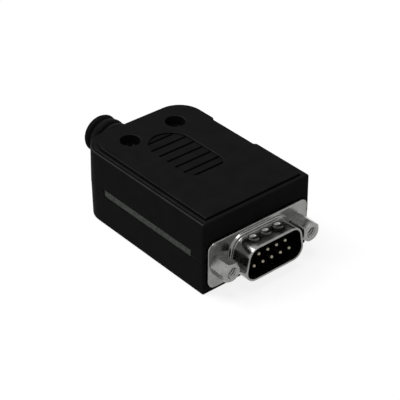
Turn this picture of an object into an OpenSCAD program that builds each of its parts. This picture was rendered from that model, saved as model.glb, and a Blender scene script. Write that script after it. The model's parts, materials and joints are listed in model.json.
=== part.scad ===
// Nine-way D-sub plug in a two-piece moulded hood with a ribbed cable boot.
// The origin is the centre of the connector flange's front face. +X is to the
// right seen from the mating side, +Y runs back to the cable, +Z is up.

/* [Hood] */
// Width of the hood
hood_w = 33.2; // [32.5:0.1:44]
// Length of the hood, from its front face to its rear face
hood_len = 46.9; // [44:0.1:60]
// Height of the hood's top above the connector's axis
hood_above = 11.9; // [9.5:0.1:16]
// Depth of the hood's base below the connector's axis
hood_below = 7.8; // [7.4:0.1:10]
// Height of the parting line above the connector's axis
seam_z = 1.8; // [1.8:0.1:3]
// Thickness of the hood's walls
wall = 1.8; // [1.4:0.1:2.2]
// Radius of the two rear corners, in plan
rear_r = 6.8; // [4:0.1:9]
// Radius of the two front corners, in plan
front_r = 0.6; // [0.5:0.1:1.5]
// Rounding of the top edges
edge_r = 0.4; // [0.2:0.1:0.8]
// How far the sides lean in from the parting line to the top and to the base
draft = 0.15; // [0:0.05:0.25]
// How far the lower shell stands in from the upper one
lower_in = 0.05; // [0:0.05:0.25]
// How far the flange's face stands in front of the hood
flange_proud = 0.6; // [0.3:0.1:0.9]

/* [Border grooves] */
// Distance of the inner groove from the hood's side
groove_in = 2.1; // [1.6:0.1:3]
// Width of the inner groove
groove_w = 0.5; // [0.3:0.1:0.8]
// Depth of the inner groove
groove_deep = 0.6; // [0.3:0.1:1]
// Distance of the inner groove from the hood's front
groove_front = 1.65; // [1.2:0.05:2.4]
// Distance of the groove's right end from the hood's right side
groove_end = 1.7; // [1.2:0.1:4]
// Distance of the outer, finer groove from the hood's side
outer_in = 0.85; // [0.7:0.05:1.1]
// Width of the outer groove
outer_w = 0.35; // [0.2:0.05:0.4]
// Depth of the outer groove
outer_deep = 0.3; // [0.1:0.05:0.5]

/* [Thumb grip] */
// Width of the grip recess
grip_w = 11.4; // [7:0.2:14]
// Distance from the hood's rear face to the middle of the recess's round end
grip_back = 15.4; // [14:0.1:18]
// Length of the grip recess
grip_len = 20.2; // [18:0.2:21]
// Depth of the gaps between its ridges
grip_deep = 0.9; // [0.6:0.1:1.2]
// Height of its ridges
ridge_h = 0.5; // [0.2:0.1:0.5]
// Number of ridges
grip_ridges = 6; // [3:1:6]
// Distance from one ridge to the next
grip_pitch = 3.05; // [2.5:0.05:3.4]
// Width of the gap between two ridges
grip_gap = 0.5; // [0.3:0.1:0.9]

/* [Side notch] */
// Length of the notch in the right side
notch_len = 16; // [8:1:18]
// Depth of the notch
notch_deep = 1; // [0.4:0.1:1]

/* [Housing screws] */
// Distance between the two screws
screw_span = 14.3; // [12.5:0.1:17]
// Distance of the screws from the hood's rear face
screw_back = 7.5; // [6.6:0.1:9]
// How far the pair of screws sits to the right of the hood's middle
screw_shift = 0.7; // [0:0.1:1]
// Diameter of the screw heads
screw_head_d = 4.9; // [4:0.1:5.2]
// Depth of the heads' tops below the hood's top
screw_sunk = 1.6; // [0.8:0.1:2.4]
// Diameter of the screw shanks
screw_d = 2.2; // [1.8:0.1:2.6]

/* [Cable boot] */
// Diameter of the boot where it leaves the hood
boot_d = 11.2; // [10:0.2:12]
// Diameter of the boot near its tip
boot_tip_d = 10.2; // [8:0.2:10.4]
// Length of the boot outside the hood
boot_len = 14.4; // [12:0.1:24]
// Diameter of the cable bore
cable_d = 5.4; // [3:0.2:6]
// Number of ring grooves
boot_grooves = 3; // [2:1:4]

/* [Circuit board] */
// Thickness of the board
board_t = 2; // [1.6:0.1:2.2]
// Length of the board
board_len = 32.4; // [28:0.2:33]

/* [Connector] */
// Width of the flange
flange_w = 30.81; // [30.8:0.01:31.2]
// Height of the flange
flange_h = 12.55; // [12.4:0.01:12.6]
// Distance between the two flange holes
hole_span = 24.99; // [24.9:0.01:25.1]
// Length of the D-shaped skirt in front of the flange
skirt_len = 5.9; // [5:0.1:6.2]
// Length of the contacts in front of the flange
pin_len = 4.9; // [4:0.1:5.4]
// Diameter of the contacts
pin_d = 1; // [0.9:0.05:1.1]
// Width of the jack standoffs across their flats
jack_af = 4.75; // [4.5:0.05:4.8]
// Length of the jack standoffs in front of the flange
jack_len = 5; // [4:0.5:8]

/* [Hidden] */
$fn = 48;
eps = 0.01;

// clearances
fit = 0.05;          // a piece in the pocket that holds it
slack = 0.25;        // round a piece that drops in loosely

// hood, in the shared frame
sheet = 0.5;                        // steel of the connector's two shells
face_y = flange_proud;              // front face
rear_y = face_y + hood_len;         // rear face
seat_y = 2 * sheet;                 // floor of the flange recess
front_wall_y = seat_y + wall;       // inner side of the front wall
top_z = hood_above;
base_z = -hood_below;
side_x = hood_w / 2;
base_bevel = 0.3;                   // round the underside
roof_t = wall + 0.4;                // the roof holds the grip and the grooves
// no corner is sharper than the edges that lean in to it
corner_r = max(front_r, draft + max(edge_r, lower_in + base_bevel) + fit);
reveal = 0.2;                       // shadow line at the parting line
lip_h = 0.8;                        // tongue that locates the upper shell
lip_t = wall / 2 - fit;
rest_t = 1.2;                       // ribs that carry the board

// thumb grip and side notch
grip_corner_r = 2.5;
grip_front = rear_y - grip_back + grip_w / 2 - grip_len;
notch_back = 11.4;                  // distance of the notch from the rear face
notch_y1 = rear_y - notch_back;
notch_y0 = notch_y1 - notch_len;
notch_z = seam_z + 1.5;             // floor of the notch

// connector
d_corner_r = 2.6;                   // inside corner of the skirt
d_wide = 16.92 / 2 - d_corner_r;    // corner centres of the wide side
d_half_h = 8.36 / 2 - d_corner_r;
d_narrow = d_wide - 2 * d_half_h * tan(10);
plateau_out = 1.3;                  // raised step round the skirt, beyond its inside
plateau_h = 0.6;
flange_r = 2;
flange_hole_r = 3.05 / 2;
body_w = 19.2;                      // drawn box behind the flange
body_h = 10.7;
body_r = 1.6;
body_y = 5.2;
face_in_y = -0.6;                   // face of the front insulator
rear_in_y = body_y + 0.5;           // rear face of the rear insulator
pin_pitch = 2.77;
pin_row = 2.84;
collar_r = 0.8;
cup_y = 9.8;                        // end of the solder cup
cup_r = 0.5;
cup_len = 3;                        // depth of its bore
cup_open = 2;                       // length of the side that is cut away
dimple_pitch = 3.8;
dimple_y = -2.4;
dimple_r = 1.5;
dimple_deep = 0.35;

// jack standoffs and their nuts
jack_thread_r = 1.4;
jack_bore_r = 1.15;
jack_hole_r = jack_thread_r + 0.2;  // hole in the hood's front wall
jack_chamfer = 0.5;                 // length of the turned bevel at the tip
jack_sink = 0.35;                   // countersink of the tapped hole
nut_af = 5;
nut_t = 2.3;
nut_end_y = front_wall_y + nut_t;

// board
board_z = 0.65;                             // underside
board_top = board_z + board_t;
board_y = nut_end_y + slack;
board_end = board_y + board_len;
board_left = -side_x + 0.25;
board_right = side_x - wall - slack - notch_deep;
cutout_x = body_w / 2 + 0.6;
cutout_y = 16;
slot_y0 = board_y - 0.4;
slot_y1 = board_end + 0.2;

// housing screws
screw_y = rear_y - screw_back;
bore_r = screw_head_d / 2 + 0.2;
head_top_z = top_z - screw_sunk;
head_h = 1.7;
head_seat_z = head_top_z - head_h;
screw_end_z = base_z + wall + 1.2;
boss_r = 2.4;
seat_t = 1.2;                       // plastic under a screw's head
bore_t = 0.9;                       // plastic round a head's bore
pilot_deep = 0.8;                   // pilot hole past the screw's end
cross_l = 2.7;                      // cross recess of a screw
cross_w = 0.6;
cross_deep = 1;
cross_turn = 20;

// boot
boot_z = seam_z;
neck_r = boot_d / 2 - 1.2;
collar_t = 1.6;
collar_out_r = boot_d / 2 + 0.2;
boot_tip_r = 1.2;                   // rounding of the tip
boot_groove_w = 0.9;
boot_groove_deep = 0.8;
boot_groove_at = 2.85;              // first groove, from the tip
boot_pitch = 3.25;

// wires
wire_r = 0.55;
core_r = 0.3;

// ---------- shared shapes ----------

// Place of the left (-1) or right (1) housing screw.
function screw_x(side) = screw_shift + side * screw_span / 2;

// Prism of a flat outline drawn in X and Z, from y0 to y1.
module along_y(y0, y1) {
    translate([0, y1, 0])
        rotate([90, 0, 0])
            linear_extrude(y1 - y0) children();
}

// Prism of a flat outline drawn in Y and Z, from -x to x.
module along_x(x) {
    translate([-x, 0, 0])
        rotate([90, 0, 90])
            linear_extrude(2 * x) children();
}

// Round bar along Y, through x and z.
module rod_y(r, y0, y1, x = 0, z = 0) {
    along_y(y0, y1) translate([x, z]) circle(r);
}

// Outward normal of the edge from a to b on a counter-clockwise outline.
function edge_normal(a, b) = [b[1] - a[1], a[0] - b[0]] / norm(b - a);

// Convex outline with round corners of radius r about the given centres. Where
// sides slant, sunk keeps each flat a hair inside its round corners, so that
// they cross instead of only touching.
module rounded(centres, r, sunk = 0) {
    n = len(centres);
    polygon([for (i = [0 : n - 1])
                 let (a = centres[i], b = centres[(i + 1) % n], m = edge_normal(a, b))
                 each [a + (r - sunk) * m, b + (r - sunk) * m]]);
    for (c = centres) translate(c) circle(r);
}

// Rectangle with round corners, centred on the origin.
module round_rect(w, h, r) {
    x = w / 2 - r;
    y = h / 2 - r;
    rounded([[-x, -y], [x, -y], [x, y], [-x, y]], r);
}

// The connector's D, wide side down, grown by out beyond the skirt's inside.
module d_outline(out = 0) {
    rounded([[-d_wide, -d_half_h], [d_wide, -d_half_h],
             [d_narrow, d_half_h], [-d_narrow, d_half_h]], d_corner_r + out, 0.002);
}

// Plan of the hood, drawn in by inset: small radii in front, large ones behind.
module hood_plan(inset = 0) {
    x = side_x - inset;
    y0 = face_y + inset;
    y1 = rear_y - inset;
    rf = max(corner_r - inset, 0.3);
    rr = max(rear_r - inset, 0.3);
    polygon([[-x + rf, y0], [x - rf, y0], [x, y0 + rf], [x, y1 - rr],
             [x - rr, y1], [-x + rr, y1], [-x, y1 - rr], [-x, y0 + rf]]);
    for (s = [-1, 1]) {
        translate([s * (x - rf), y0 + rf]) circle(rf);
        translate([s * (x - rr), y1 - rr]) circle(rr);
    }
}

// Prism of the hood's plan between two heights.
module hood_slab(z0, z1, inset = 0) {
    translate([0, 0, z0]) linear_extrude(z1 - z0) hood_plan(inset);
}

// ---------- hood ----------

// Groove in the top face that follows the left side from the rear corner's
// arc forward. Its middle lies at_in from the side.
module side_groove(at_in, w, deep, y0) {
    r = rear_r - at_in;
    translate([0, 0, top_z - deep]) linear_extrude(deep + 1) {
        translate([-side_x + at_in - w / 2, y0]) square([w, rear_y - rear_r - y0]);
        translate([-side_x + rear_r, rear_y - rear_r]) intersection() {
            difference() {
                circle(r + w / 2);
                circle(r - w / 2);
            }
            polygon([[0, 0], [-rear_r, 0], [-rear_r, rear_r]]);
        }
    }
}

// The two grooves of the border: the inner one turns along the front edge.
module border_grooves() {
    y0 = face_y + groove_front - groove_w / 2;
    side_groove(groove_in, groove_w, groove_deep, y0);
    translate([-side_x + groove_in - groove_w / 2, y0, top_z - groove_deep])
        cube([hood_w - groove_in - groove_end, groove_w, groove_deep + 1]);
    side_groove(outer_in, outer_w, outer_deep, face_y + groove_front / 2);
}

// Outline of the thumb grip: a round end behind, small corners in front.
module grip_outline() {
    r = grip_w / 2;
    c = grip_corner_r;
    y0 = grip_front;
    y1 = rear_y - grip_back;
    translate([0, y1]) circle(r);
    polygon([[-r, y1], [-r, y0 + c], [-r + c, y0], [r - c, y0], [r, y0 + c], [r, y1]]);
    for (s = [-1, 1]) translate([s * (r - c), y0 + c]) circle(c);
}

// Recess of the grip, down to the tops of its ridges, and the gaps between them.
module grip_cut() {
    translate([0, 0, top_z - grip_deep + ridge_h]) linear_extrude(grip_deep + 1) grip_outline();
    for (i = [0 : grip_ridges])
        translate([0, 0, top_z - grip_deep]) linear_extrude(grip_deep + 1) intersection() {
            grip_outline();
            translate([-grip_w, grip_front + i * grip_pitch]) square([2 * grip_w, grip_gap]);
        }
}

// Shallow notch in the right side with ramped ends.
module notch_cut() {
    d = notch_deep;
    translate([0, 0, notch_z]) linear_extrude(top_z)
        polygon([[side_x + 1, notch_y0 - 1], [side_x + 1, notch_y1 + 1],
                 [side_x - d, notch_y1 - d], [side_x - d, notch_y0 + d]]);
}

// Round hole for the boot's neck in the rear wall.
module boot_hole() {
    rod_y(neck_r + fit, rear_y - wall - 1, rear_y + 1, 0, boot_z);
}

// Slot in the left wall that shows the board's edge.
module board_slot() {
    translate([-side_x - 1, slot_y0, board_z - 0.15])
        cube([wall + 3, slot_y1 - slot_y0, board_t + 0.3]);
}

// Recess for the flange, opening for the connector's body, and a hole and a
// nut pocket for each jack standoff.
module connector_cut() {
    pocket_w = nut_af + 2 * fit;
    pocket_h = 2 * nut_af / sqrt(3) + 2 * slack;
    along_y(-1, seat_y) round_rect(flange_w + 2 * slack, flange_h + 2 * slack, flange_r + slack);
    along_y(-1, max(front_wall_y + 1, rear_in_y + slack))
        round_rect(body_w + 2 * slack, body_h + 2 * slack, body_r + slack);
    for (s = [-1, 1]) {
        rod_y(jack_hole_r, -1, front_wall_y + 1, s * hole_span / 2);
        translate([s * hole_span / 2 - pocket_w / 2, front_wall_y, -pocket_h / 2])
            cube([pocket_w, nut_t + slack, pocket_h]);
    }
}

// Tongue of the lower shell, grown by gap for its groove in the upper shell.
module lip(gap = 0) {
    difference() {
        hood_slab(seam_z - gap, seam_z + lip_h + gap, wall - lip_t - gap);
        hood_slab(seam_z - 1, seam_z + lip_h + 1, wall + gap);
        // the front is left free for the connector
        translate([-side_x, face_y - 1, seam_z - 1]) cube([hood_w, front_wall_y + 2, lip_h + 3]);
    }
}

// Layer of the hood between two heights whose sides lean in from inset in0 to in1.
module hood_taper(z0, z1, in0, in1) {
    h = z1 - z0;
    mid_y = (face_y + rear_y) / 2;
    x0 = side_x - in0;
    x1 = side_x - in1;
    along_y(face_y + corner_r, rear_y - rear_r)
        polygon([[-x0, z0], [x0, z0], [x1, z1], [-x1, z1]]);
    along_x(side_x - corner_r)
        polygon([[face_y + in0, z0], [mid_y, z0], [mid_y, z1], [face_y + in1, z1]]);
    along_x(side_x - rear_r)
        polygon([[mid_y, z0], [rear_y - in0, z0], [rear_y - in1, z1], [mid_y, z1]]);
    for (s = [-1, 1]) {
        translate([s * (side_x - corner_r), face_y + corner_r, z0])
            cylinder(r1 = corner_r - in0, r2 = corner_r - in1, h = h);
        translate([s * (side_x - rear_r), rear_y - rear_r, z0])
            cylinder(r1 = rear_r - in0, r2 = rear_r - in1, h = h);
    }
}

// The sides lean in towards the top, where the edges are rounded in two steps.
module upper_body() {
    small = 0.3 * edge_r;
    hood_taper(seam_z, top_z - edge_r, 0, draft);
    hood_taper(top_z - edge_r, top_z - small, draft, draft + small);
    hood_taper(top_z - small, top_z, draft + small, draft + edge_r);
}

// The sides lean in towards the base. The top layer is drawn in for the shadow
// line under the upper shell.
module lower_body() {
    hood_taper(base_z, base_z + base_bevel, lower_in + draft + base_bevel, lower_in + draft);
    hood_taper(base_z + base_bevel, seam_z - reveal, lower_in + draft, lower_in);
    hood_slab(seam_z - reveal - eps, seam_z, lower_in + reveal);
}

module upper_shell() {
    color([0.09, 0.09, 0.1]) difference() {
        union() {
            difference() {
                upper_body();
                // inside
                difference() {
                    hood_slab(seam_z - 1, top_z - roof_t, wall);
                    // front wall stays thick behind the recess
                    translate([-side_x, 0, 0]) cube([hood_w, front_wall_y, top_z]);
                    // the right wall stays thick at the notch
                    translate([side_x - wall - notch_deep, notch_y0 - wall, seam_z - 2])
                        cube([wall + notch_deep, notch_len + 2 * wall, top_z]);
                }
            }
            for (s = [-1, 1]) translate([screw_x(s), screw_y, 0]) {
                translate([0, 0, head_seat_z - seat_t])
                    cylinder(r = bore_r + bore_t, h = top_z - 1 - head_seat_z);
                translate([0, 0, seam_z]) cylinder(r = boss_r, h = top_z - 1 - seam_z);
            }
        }
        for (s = [-1, 1]) translate([screw_x(s), screw_y, 0]) {
            translate([0, 0, head_seat_z]) cylinder(r = bore_r, h = top_z);
            translate([0, 0, seam_z - 1]) cylinder(r = screw_d / 2 + 0.2, h = top_z);
        }
        border_grooves();
        grip_cut();
        notch_cut();
        boot_hole();
        board_slot();
        connector_cut();
        lip(fit * 2);
    }
}

module lower_shell() {
    color([0.09, 0.09, 0.1]) {
        difference() {
            union() {
                difference() {
                    lower_body();
                    difference() {
                        hood_slab(base_z + wall, seam_z + 1, wall);
                        translate([-side_x, 0, base_z]) cube([hood_w, front_wall_y, seam_z - base_z]);
                    }
                }
                lip();
                for (s = [-1, 1]) translate([screw_x(s), screw_y, base_z + wall - eps])
                    cylinder(r = boss_r, h = seam_z - base_z - wall + eps);
                board_rests();
            }
            for (s = [-1, 1]) translate([screw_x(s), screw_y, screw_end_z - pilot_deep])
                cylinder(r = screw_d / 2 + fit, h = seam_z - screw_end_z + 2);
            boot_hole();
            board_slot();
            connector_cut();
        }
    }
}

// Ribs on the floor that carry the board.
module board_rests() {
    for (y = [cutout_y + 4, board_end - 5])
        translate([-side_x + wall - eps, y, base_z + wall - eps])
            cube([hood_w - 2 * wall + 2 * eps, rest_t, board_z - base_z - wall + eps]);
}

module cable_boot() {
    r0 = boot_d / 2;
    r1 = boot_tip_d / 2;
    tip_r = boot_tip_r;
    color([0.07, 0.07, 0.08])
        translate([0, 0, boot_z]) rotate([-90, 0, 0]) difference() {
            union() {
                // collar inside the hood and neck through its wall
                translate([0, 0, rear_y - wall - collar_t - fit]) cylinder(r = collar_out_r, h = collar_t);
                translate([0, 0, rear_y - wall - collar_t / 2]) cylinder(r = neck_r, h = wall + 2);
                // tapered body with a rounded tip
                translate([0, 0, rear_y + fit]) cylinder(r1 = r0, r2 = r1, h = boot_len - tip_r);
                translate([0, 0, rear_y + boot_len - tip_r]) rotate_extrude() {
                    intersection() {
                        translate([r1 - tip_r, 0]) circle(tip_r);
                        square([r1, tip_r]);
                    }
                    square([r1 - tip_r, tip_r]);
                }
            }
            translate([0, 0, rear_y - wall - collar_t - 1])
                cylinder(r = cable_d / 2, h = boot_len + wall + collar_t + 2);
            for (i = [0 : boot_grooves - 1]) {
                at = boot_groove_at + i * boot_pitch;
                floor_r = r1 + (r0 - r1) * at / boot_len - boot_groove_deep;
                translate([0, 0, rear_y + boot_len - at]) difference() {
                    cylinder(r = r0 + 1, h = boot_groove_w);
                    translate([0, 0, -1]) cylinder(r = floor_r, h = boot_groove_w + 2);
                }
            }
        }
}

// ---------- circuit board ----------

module circuit_board() {
    color([0.45, 0.5, 0.42])
        translate([0, 0, board_z]) linear_extrude(board_t) difference() {
            translate([board_left, board_y]) square([board_right - board_left, board_len]);
            translate([-cutout_x, board_y - 1]) square([2 * cutout_x, cutout_y - board_y + 1]);
            for (s = [-1, 1]) translate([screw_x(s), screw_y]) circle(boss_r + slack);
        }
}

// ---------- connector ----------

module flange_plate(y0) {
    along_y(y0, y0 + sheet) round_rect(flange_w, flange_h, flange_r);
}

module flange_holes() {
    for (s = [-1, 1]) rod_y(flange_hole_r, -2, 2, s * hole_span / 2);
}

module dimples(r) {
    z = d_half_h + d_corner_r + sheet + r - dimple_deep;
    for (i = [-1 : 1]) translate([i * dimple_pitch, dimple_y, z]) rotate([90, 0, 0]) sphere(r);
}

module front_shell() {
    color([0.75, 0.76, 0.78]) difference() {
        union() {
            flange_plate(0);
            along_y(-plateau_h, sheet) d_outline(plateau_out);
            along_y(-skirt_len, 0) d_outline(sheet);
        }
        along_y(-skirt_len - 1, sheet + 1) d_outline(0);
        along_y(sheet - plateau_h, sheet + 1) d_outline(plateau_out - sheet);
        flange_holes();
        dimples(dimple_r);
    }
}

module rear_shell() {
    color([0.72, 0.73, 0.74]) difference() {
        union() {
            flange_plate(sheet);
            along_y(sheet, body_y) round_rect(body_w, body_h, body_r);
        }
        along_y(0, body_y + 1) round_rect(body_w - 2 * sheet, body_h - 2 * sheet, body_r - sheet);
        flange_holes();
    }
}

function pin_x(n) = n <= 5 ? (3 - n) * pin_pitch : (7.5 - n) * pin_pitch;
function pin_z(n) = n <= 5 ? -pin_row / 2 : pin_row / 2;

module pin_holes(r, y0, y1) {
    for (n = [1 : 9]) rod_y(r, y0, y1, pin_x(n), pin_z(n));
}

module front_insulator() {
    color([0.05, 0.05, 0.05]) difference() {
        union() {
            along_y(face_in_y, sheet) d_outline(-fit);
            along_y(sheet - plateau_h + fit, sheet) d_outline(plateau_out - sheet - fit);
        }
        pin_holes(pin_d / 2 + fit, -1, 1);
    }
}

module rear_insulator() {
    color([0.05, 0.05, 0.05]) difference() {
        along_y(sheet, rear_in_y)
            round_rect(body_w - 2 * sheet - 2 * fit, body_h - 2 * sheet - 2 * fit, body_r - sheet - fit);
        pin_holes(collar_r + fit, 0, rear_in_y + 1);
    }
}

// Contact n: a round pin in front, a collar in the rear insulator and an open
// solder cup behind.
module pin(n) {
    color([0.85, 0.7, 0.35]) translate([pin_x(n), 0, pin_z(n)]) difference() {
        union() {
            rod_y(pin_d / 2, -pin_len + pin_d / 2, sheet + 1);
            translate([0, -pin_len + pin_d / 2, 0]) sphere(pin_d / 2, $fn = 24);
            rod_y(collar_r, sheet + fit, cup_y);
        }
        rod_y(cup_r, cup_y - cup_len, cup_y + 1);
        translate([-1, cup_y - cup_open, 0.2]) cube([2, cup_open + 1, 2]);
    }
}

// ---------- fasteners ----------

// Side is -1 for the left one and 1 for the right one.
module standoff(side) {
    tip = jack_af / 2 - 0.15;
    corner = jack_af / sqrt(3);
    color([0.78, 0.79, 0.8]) translate([side * hole_span / 2, 0, 0]) difference() {
        union() {
            intersection() {
                rotate([90, 0, 0]) cylinder(r = corner, h = jack_len, $fn = 6);
                rotate([90, 0, 0]) rotate_extrude()
                    polygon([[0, 0], [corner + 0.1, 0], [corner + 0.1, jack_len - jack_chamfer],
                             [tip, jack_len], [0, jack_len]]);
            }
            rod_y(jack_thread_r, -eps, nut_end_y);
        }
        rod_y(jack_bore_r, -jack_len - 1, -0.6);
        translate([0, -jack_len - eps, 0]) rotate([-90, 0, 0])
            cylinder(r1 = jack_bore_r + jack_sink, r2 = jack_bore_r - 0.05, h = jack_sink + 0.05);
    }
}

module jack_nut(side) {
    color([0.78, 0.79, 0.8]) translate([side * hole_span / 2, 0, 0]) difference() {
        translate([0, nut_end_y, 0]) rotate([90, 30, 0])
            cylinder(r = nut_af / sqrt(3), h = nut_t, $fn = 6);
        rod_y(jack_thread_r + fit, 0, nut_end_y + 1);
    }
}

module housing_screw(side) {
    r = screw_head_d / 2;
    color([0.2, 0.2, 0.21]) translate([screw_x(side), screw_y, 0]) difference() {
        union() {
            // pan head with a rounded rim
            translate([0, 0, head_seat_z]) rotate_extrude() {
                square([r, head_h * 0.45]);
                intersection() {
                    translate([0, head_h - 2.9 * r]) circle(2.9 * r, $fn = 96);
                    square([r, head_h]);
                }
            }
            translate([0, 0, screw_end_z]) cylinder(r = screw_d / 2, h = head_seat_z - screw_end_z + eps);
        }
        for (a = [0, 90]) rotate([0, 0, a + cross_turn])
            translate([-cross_l / 2, -cross_w / 2, head_top_z - cross_deep])
                cube([cross_l, cross_w, cross_deep + 1]);
    }
}

// ---------- wires ----------

// Short insulated wire from the cup of contact n to its pad on the board: bare
// ends lie in the cup and on the pad, and the insulated middle climbs between.
module hookup_wire(n) {
    z0 = pin_z(n);
    z1 = n > 5 ? board_top + core_r : board_z - core_r;
    y0 = cup_y + 0.4;
    run = cutout_y - 0.4 - y0;
    climb = atan2(z1 - z0, run);
    translate([pin_x(n), 0, 0]) {
        rod_y(core_r, cup_y - cup_len + 0.4, y0 + 0.3, 0, z0);
        translate([0, y0, z0]) rotate([-90 + climb, 0, 0])
            cylinder(r = wire_r, h = norm([run, z1 - z0]));
        rod_y(core_r, cutout_y - 0.7, cutout_y + 1.5, 0, z1);
    }
}

module hookup_wires() {
    color([0.6, 0.1, 0.1]) for (n = [1 : 9]) hookup_wire(n);
}

upper_shell();
lower_shell();
cable_boot();
circuit_board();
front_shell();
rear_shell();
front_insulator();
rear_insulator();
for (n = [1 : 9]) pin(n);
standoff(-1);  // standoff_left
standoff(1);  // standoff_right
jack_nut(-1);  // jack_nut_left
jack_nut(1);  // jack_nut_right
housing_screw(-1);  // housing_screw_left
housing_screw(1);  // housing_screw_right
hookup_wires();
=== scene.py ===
"""Looks of the nine-way D-sub plug: moulded hood, cable boot, plated shell, contacts and fasteners."""

import json
import logging
import math
from dataclasses import dataclass, field
from enum import Enum
from typing import Callable, Sequence

import bmesh
import bpy
from mathutils import Matrix, Vector, noise
from mathutils.geometry import normal


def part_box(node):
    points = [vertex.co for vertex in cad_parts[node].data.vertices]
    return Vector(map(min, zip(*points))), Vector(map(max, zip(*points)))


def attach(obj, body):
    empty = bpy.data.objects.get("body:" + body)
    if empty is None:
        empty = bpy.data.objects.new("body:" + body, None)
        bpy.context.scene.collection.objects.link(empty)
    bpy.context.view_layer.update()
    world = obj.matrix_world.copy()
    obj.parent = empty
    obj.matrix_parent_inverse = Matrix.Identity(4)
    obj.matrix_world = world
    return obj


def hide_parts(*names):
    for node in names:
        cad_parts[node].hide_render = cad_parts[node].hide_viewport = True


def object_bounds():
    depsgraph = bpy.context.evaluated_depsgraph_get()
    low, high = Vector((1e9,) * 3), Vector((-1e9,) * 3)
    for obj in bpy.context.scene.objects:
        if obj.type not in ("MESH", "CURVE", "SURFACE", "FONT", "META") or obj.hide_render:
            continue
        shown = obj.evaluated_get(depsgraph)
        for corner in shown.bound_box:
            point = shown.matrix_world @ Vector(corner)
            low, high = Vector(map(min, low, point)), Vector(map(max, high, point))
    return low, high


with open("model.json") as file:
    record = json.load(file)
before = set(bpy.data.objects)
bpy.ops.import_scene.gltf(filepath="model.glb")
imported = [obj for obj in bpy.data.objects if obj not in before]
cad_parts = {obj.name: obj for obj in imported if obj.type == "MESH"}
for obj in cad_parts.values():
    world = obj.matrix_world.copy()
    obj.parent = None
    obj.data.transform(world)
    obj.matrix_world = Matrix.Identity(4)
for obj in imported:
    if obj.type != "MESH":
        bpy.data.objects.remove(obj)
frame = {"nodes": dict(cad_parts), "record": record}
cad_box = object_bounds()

log = logging.getLogger("plug")

MM = 0.001  # the shapes below are worked out in millimetres
MERGE = 1e-5  # points that are nearer than this become one
RING_GAP = 5.0  # a skin's rings are drawn this far apart, then moved back
TURN = 2 * math.pi
SIDES = ("left", "right")

Pair = tuple[float, float]
Triple = tuple[float, float, float]
Edge = bmesh.types.BMEdge
Socket = bpy.types.NodeSocket


def linked(name: str, data: bpy.types.ID) -> bpy.types.Object:
    """A new object in the scene that holds a mesh, a camera or a light."""
    found = bpy.data.objects.new(name, data)
    bpy.context.scene.collection.objects.link(found)
    return found


class Cut(Enum):
    """How a tool changes the body that it is applied to."""

    AWAY = "DIFFERENCE"
    JOIN = "UNION"
    KEEP = "INTERSECT"


class Along(Enum):
    """The axis that a turned or drawn-out shape follows."""

    Y = (0.0, 1.0, 0.0)
    Z = (0.0, 0.0, 1.0)

    @property
    def vector(self) -> Vector:
        """The axis as a unit vector."""
        return Vector(self.value)

    def turn(self) -> Matrix:
        """The turn that carries the Z axis onto this axis."""
        return self.vector.to_track_quat("Z", "Y").to_matrix().to_4x4()


# ---------- finishes ----------


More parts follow.
